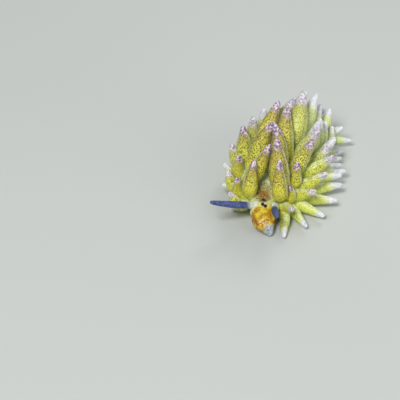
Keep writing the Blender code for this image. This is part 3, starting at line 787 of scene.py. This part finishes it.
def firstAxis(ceras):
    # a curve from just inside the root that turns up and back
    bend = growth["bendUp"] * up + growth["bendBack"] * ceras["back"]
    later = unit(ceras["toward"] + ceras["bend"] * bend)
    u = np.linspace(0.0, 1.0, growth["joints"])[:, None]
    start = ceras["root"] - ceras["toward"] * growth["rootDepth"]
    middle = start + ceras["toward"] * ceras["length"] * 0.5
    end = middle + later * ceras["length"] * 0.5
    return (1.0 - u) ** 2 * start + 2.0 * u * (1.0 - u) * middle + u * u * end


def obstacleBalls():
    # balls that fill the body, the foot's margin and the rhinophores
    centres = []
    radii = []
    for s in np.arange(growth["firstBall"], growth["lastBall"], growth["ballStep"]):
        width, top = float(onLine(s, "width")), float(onLine(s, "top"))
        _, out = directions(np.array(s))
        ball = min(width, top / 2.0) * growth["bodyBall"]
        centres.append(linePoint(s, top - ball))
        radii.append(ball)
        if s > foot["front"]:
            for side in (-1.0, 1.0):
                edge = width * foot["widthShare"] - growth["marginBall"] / 2.0
                centres.append(linePoint(s, growth["marginBall"]) + out * side * edge)
                radii.append(growth["marginBall"])
    for horn in horns.values():
        path = hornPath(horn, horn["length"] * np.array(growth["hornBallsAt"]))
        centres.extend(path)
        radii.extend([growth["hornBall"]] * len(path))
    return np.array(centres), np.array(radii)


def pushedOff(joints, radii, centres, centreRadii, gap):
    between = joints[:, None] - centres[None]
    distance = np.linalg.norm(between, axis=2) + 1e-9
    press = np.clip(radii[:, None] + centreRadii[None] + gap - distance, 0.0, None)
    return (between / distance[..., None] * press[..., None]).sum(1) * growth["pushShare"]


def spreadCerata(plan):
    # joints are pushed off their neighbours and the body; roots and lengths stay
    axes = np.array([firstAxis(c) for c in plan])
    u = np.linspace(0.0, 1.0, growth["joints"])
    share = np.interp(u, *np.array(growth["profile"]).T)
    radius = np.array([c["width"] / 2.0 for c in plan])[:, None] * share * growth["radiusShare"]
    owner = np.repeat(np.arange(len(plan)), growth["joints"])
    part = np.array([c["part"] for c in plan])[owner]
    gap = np.where(part[:, None] != part[None, :], growth["gap"], growth["gapInNode"])
    gap[owner[:, None] == owner[None, :]] = -body["length"]
    slope, start = growth["free"]
    free = np.clip(u * slope + start, 0.0, 1.0)[None, :, None]
    segment = np.linalg.norm(np.diff(axes, axis=1), axis=2, keepdims=True)
    balls, ballRadii = obstacleBalls()
    home = axes.copy()
    flat = radius.reshape(-1)
    for _ in range(growth["steps"]):  # push, pull home, keep off the floor, restore lengths, straighten
        joints = axes.reshape(-1, 3)
        push = pushedOff(joints, flat, joints, flat, gap)
        push = push + pushedOff(joints, flat, balls, ballRadii, growth["gap"])
        axes = axes + push.reshape(axes.shape) * free
        axes = axes + (home - axes) * growth["pullHome"] * free
        axes[..., 2] = np.maximum(axes[..., 2], radius + growth["floorClearance"])
        for _ in range(2):
            for j in range(1, growth["joints"]):
                step = axes[:, j] - axes[:, j - 1]
                axes[:, j] = axes[:, j - 1] + unit(step) * segment[:, j - 1]
        middle = (axes[:, 2:] + axes[:, :-2]) / 2.0
        axes[:, 1:-1] += growth["straighten"] * (middle - axes[:, 1:-1]) * free[:, 1:-1]
    return axes


def alongAxes(axes, u):
    # cubic pieces through the joints: position and slope agree at every joint
    place = np.clip(u * (growth["joints"] - 1), 0.0, growth["joints"] - 1 - 1e-9)
    k = place.astype(int)
    f = (place - k)[:, None]
    slope = np.gradient(axes, axis=1)
    return ((2.0 * f ** 3 - 3.0 * f ** 2 + 1.0) * axes[:, k] + (f ** 3 - 2.0 * f ** 2 + f) * slope[:, k]
            + (3.0 * f ** 2 - 2.0 * f ** 3) * axes[:, k + 1] + (f ** 3 - f ** 2) * slope[:, k + 1])


plan = planCerata()
axes = spreadCerata(plan)
print("cerata planned:", len(plan))


# cerata: clear skin and the gland inside

leaf = {
    "rings": 30,
    "sides": 20,
    "flatness": 0.86,
    "keel": 0.10,  # how far the faces fall away toward the side edges
    # share of the length, part of the half width; the low outer ones end blunter
    "outline": ((0.0, 0.56), (0.10, 0.74), (0.22, 0.91), (0.34, 0.99), (0.45, 0.985), (0.58, 0.88),
                (0.70, 0.70), (0.82, 0.49), (0.91, 0.325), (0.965, 0.21), (1.0, 0.02)),
    "bluntOutline": ((0.0, 0.56), (0.10, 0.74), (0.22, 0.91), (0.34, 0.99), (0.45, 0.985),
                     (0.58, 0.91), (0.70, 0.76), (0.82, 0.58), (0.91, 0.42), (0.965, 0.31),
                     (0.985, 0.22), (1.0, 0.02)),
    "bluntness": 1.1,
    "dense": 201,  # points of the outline while it is smoothed
    "smoothing": 12,
    "glandRings": 34,
    "glandSides": 24,
    "glandStart": 0.04,
    "glandEnd": 0.985,
    "glandShare": 0.90,
    "tipShare": 0.96,
    "tipFrom": (0.80, 0.92),
    "lumps": 0.03,
    "rim": (0.93, 0.99),  # part of the half width where the gland ends and only clear margin is left
    "wideRim": (0.28, 0.168),  # how much further in that margin starts and ends on the low outer ones
    "edgeAcross": (0.60, 0.90),  # where the brown line sets in, across the leaf and along it
    "edgeAlong": (0.12, 0.57),
    "rearFrom": (0.22, 0.64),  # where along its row a ceras turns to the plainer rear kind
    "pale": {"rear": 0.95, "low": 0.35},
    "goldFade": 1.2,
}


def perCeras(key):
    return np.array([c[key] for c in plan], dtype=float)[:, None, None]


def leafRadius(u, outline):
    dense = np.linspace(0.0, 1.0, leaf["dense"])
    return np.interp(u, dense, smoothed(np.interp(dense, *np.array(outline).T), leaf["smoothing"]))


def cerasRings(u, widthShare, turn, lumps=0.0):
    # half width = outline(u) * half the ceras' width; the thickness falls off toward the edges
    sharp, blunt = leafRadius(u, leaf["outline"]), leafRadius(u, leaf["bluntOutline"])
    outline = sharp + (blunt - sharp) * np.clip(leaf["bluntness"] * perCeras("low")[:, :, 0], 0.0, 1.0)
    half = perCeras("width") / 2.0 * (outline * widthShare)[:, :, None]
    edge = 1.0 - leaf["keel"] * np.abs(np.cos(turn)) ** 3
    # lumps: waves along the leaf times waves round it, in two sizes, shifted from leaf to leaf
    phase = np.arange(len(plan))[:, None, None] * 1.7
    bumps = (np.sin(u[:, None] * 37.0 + 2.0 * np.sin(turn * 3.0) + phase) * np.sin(turn * 5.0 + phase)
             + 0.7 * np.sin(u[:, None] * 71.0 + phase) * np.sin(turn * 9.0 + u[:, None] * 11.0))
    half = half * (1.0 + lumps * bumps)
    broad = np.array([c["back"] for c in plan])
    return tubeRings(alongAxes(axes, u), broad, turn, half, half * leaf["flatness"] * edge)


def makeShell(material):
    u = np.linspace(0.0, 1.0, leaf["rings"])
    turn = np.linspace(0.0, 2.0 * np.pi, leaf["sides"], endpoint=False)
    rings, _ = cerasRings(u, 1.0, turn)
    return loftMesh("cerata_clear_skin", rings, {}, material)


def makeGland(material):
    rng = np.random.default_rng(growth["seed"] + 1)
    u = np.linspace(leaf["glandStart"], leaf["glandEnd"], leaf["glandRings"])
    turn = np.linspace(0.0, 2.0 * np.pi, leaf["glandSides"], endpoint=False)
    share = leaf["glandShare"] + (leaf["tipShare"] - leaf["glandShare"]) * ramp(u, *leaf["tipFrom"])
    rings, other = cerasRings(u, share, turn, leaf["lumps"])
    low = perCeras("low")
    rear = ramp(perCeras("rear"), *leaf["rearFrom"])
    margin = np.abs(np.cos(turn))
    rimStart, rimEnd = (rim - wide * low for rim, wide in zip(leaf["rim"], leaf["wideRim"]))
    values = {
        "along": u[:, None],
        # brown line inside the margin, and the clear margin itself
        "edge": ramp(margin, *leaf["edgeAcross"]) * ramp(u, *leaf["edgeAlong"])[:, None],
        "margin": ramp(margin, rimStart, rimEnd),
        "upper": 0.5 + 0.5 * np.sin(turn) * np.sign(other[:, :, 2:3]),
        "pale": np.clip(leaf["pale"]["rear"] * rear + leaf["pale"]["low"] * low ** 3, 0.0, 1.0),
        "gold": np.clip(1.0 - low * leaf["goldFade"], 0.0, 1.0) * (1.0 - rear),
        "tone": rng.uniform(0.0, 1.0, (len(plan), 1, 1)),
        "low": low,
        "rear": rear,
    }
    return loftMesh("cerata_gland", rings, values, material)


clearMargin = ("#C2D07C", "#EEF4C8", ("mottle", 0.35, 0.65))

# digestive gland seen through skin: packed yellow-green grains with dark brown specks
glandLook = {
    "name": "grainyGreenGland",
    "shader": {"Roughness": 0.42, "IOR": 1.36, "Coat Weight": 0.08, "Coat Roughness": 0.15,
               "Subsurface Weight": 0.1, "Subsurface Scale": 0.12 * mm},
    "meshValues": ("along", "pale", "gold", "tone", "upper", "edge", "low", "rear", "margin"),
    "noise": {"mottle": (0.20, 3.0, 0.6), "grain": (0.06, 2.0, 0.65), "blotches": (0.11, 2.0, 0.5)},
    "dots": {"specks": (0.086, 0.46, 0.95), "finer": (0.058, 0.41, 0.75), "crowded": (0.060, 0.52, 0.9),
             "violet": (0.075, 0.36, 0.6)},
    "joined": {
        # how thick the specks lie: on the upper faces and away from the root, few low down and behind
        "thick": ("MULTIPLY", ("upper", 0.15, 0.60, 0.4, 1.0), ("along", 0.05, 0.28, 0.4, 1.0),
                  ("rear", 0.0, 1.0, 1.0, 0.25), ("low", 0.5, 1.0, 1.0, 0.5)),
        "plain": ("MAXIMUM", ("rear",), ("low", 0.5, 1.0)),
        "tipFrom": ("ADD", ("mottle", 0.12), ("along",), ("rear", 0.08)),
    },
    "coats": (
        # yellow-green, ochre in front, mint behind and below
        (("#BCC602", "#FFFC3C", ("grain", 0.38, 0.60)),),
        (("#D6B408", "#FFF048", ("grain", 0.38, 0.60)), ("gold",), ("mottle", 0.35, 0.6, 0.1, 0.8)),
        (("#B6CC78", "#EDF5CC", ("grain", 0.38, 0.60)), ("pale", 0.85)),
        ("#B4C818", ("tone", 0.22)),
        (clearMargin, ("along", 0.24, 0.04)),
        ("#2A1706", ("specks",), ("thick",)),
        ("#4A2E0A", ("finer",), ("thick", 0.2, 1.0, 0.1, 1.0)),
        # brown line inside the margin, brown band below the tip, and the clear margin itself
        ("#46280C", ("edge",), ("crowded", 0.0, 1.0, 0.45, 1.0), ("mottle", 0.34, 0.54, 0.55, 1.0),
         ("rear", 0.0, 1.0, 1.0, 0.2), ("low", 0.2, 1.0, 1.0, 0.25)),
        ("#7A4E12", ("along", 0.52, 0.83), ("along", 0.88, 0.84), ("low", 0.3, 0.95, 0.6, 0.0),
         ("rear", 0.0, 1.0, 1.0, 0.15)),
        (clearMargin, ("margin",), ("mottle", 0.36, 0.60, 0.3, 0.85)),
        # the tip: violet specks on whitish pink, plainer and whiter behind and below
        ([
            (("#6A5280", "#EFD6E4", ("blotches", 0.44, 0.58)),),
            (("#CBD6EC", "#FBFAF8", ("mottle", 0.35, 0.65)), ("plain", 0.85)),
            ("#5B4574", ("violet",), ("plain", 0.0, 1.0, 0.9, 0.3)),
        ], ("tipFrom", 0.84, 0.94)),
    ),
    "bump": ("grain", 0.016),
}
# clear wet skin: faint milky white, mirror-like with water
shellLook = {
    "name": "clearMilkySkin",
    "shader": {"Roughness": 0.14, "IOR": 1.36, "Coat Weight": 0.2, "Coat Roughness": 0.06,
               "Alpha": 0.08},
    "noise": {"cloud": (0.25, 2.0, 0.5), "ripple": (0.12, 2.0, 0.5)},
    "coats": ((("#DDE6A8", "#F6F7DC", ("cloud", 0.3, 0.7)),),),
    "bump": ("ripple", 0.006),
}

for piece in (makeShell(makeMaterial(shellLook)), makeGland(makeMaterial(glandLook))):
    print(piece.name + ":", len(piece.data.polygons), "faces")


# floor and light

# matt painted board
boardLook = {
    "name": "mattPaleBoard",
    "shader": {"Roughness": 0.75},
    "noise": {"cloud": (60.0, 2.0, 0.5)},
    "coats": ((("#CDD0CD", "#B9BEB9", ("cloud",)),),),
}
boardSize = 1.6  # metres
room = {"colour": "#E8ECF0", "strength": 0.30}


def makeFloor():
    half = boardSize / 2.0
    mesh = bpy.data.meshes.new("floor")
    mesh.from_pydata([(-half, -half, 0.0), (half, -half, 0.0), (half, half, 0.0), (-half, half, 0.0)],
                     [], [(0, 1, 2, 3)])
    mesh.materials.append(makeMaterial(boardLook))
    floor = bpy.data.objects.new("floor", mesh)
    bpy.context.scene.collection.objects.link(floor)


lights = (
    {"name": "key", "from": (-28.0, -98.0, 125.0), "size": 45.0, "power": 0.185},
    {"name": "fill", "from": (110.0, -60.0, 70.0), "size": 110.0, "power": 0.05},
    {"name": "back", "from": (40.0, 120.0, 110.0), "size": 80.0, "power": 0.075},
)


def makeLights():
    for light in lights:
        data = bpy.data.lights.new(light["name"], "AREA")
        data.shape = "DISK"
        data.size = light["size"] * mm
        data.energy = light["power"]
        lamp = bpy.data.objects.new(light["name"], data)
        bpy.context.scene.collection.objects.link(lamp)
        lamp.location = Vector(light["from"]) * mm
        lamp.rotation_euler = Vector(light["from"]).to_track_quat("Z", "Y").to_euler()
    world = bpy.data.worlds.new("paleRoom")
    world.use_nodes = True
    background = world.node_tree.nodes["Background"]
    background.inputs["Color"].default_value = srgb(room["colour"])
    background.inputs["Strength"].default_value = room["strength"]
    bpy.context.scene.world = world


makeFloor()
makeLights()
bpy.context.scene.cycles.transparent_max_bounces = 24  # for light through many clear skins in a row
bpy.context.scene.view_settings.view_transform = "Standard"  # plain photographic colours
print("floor and light done")
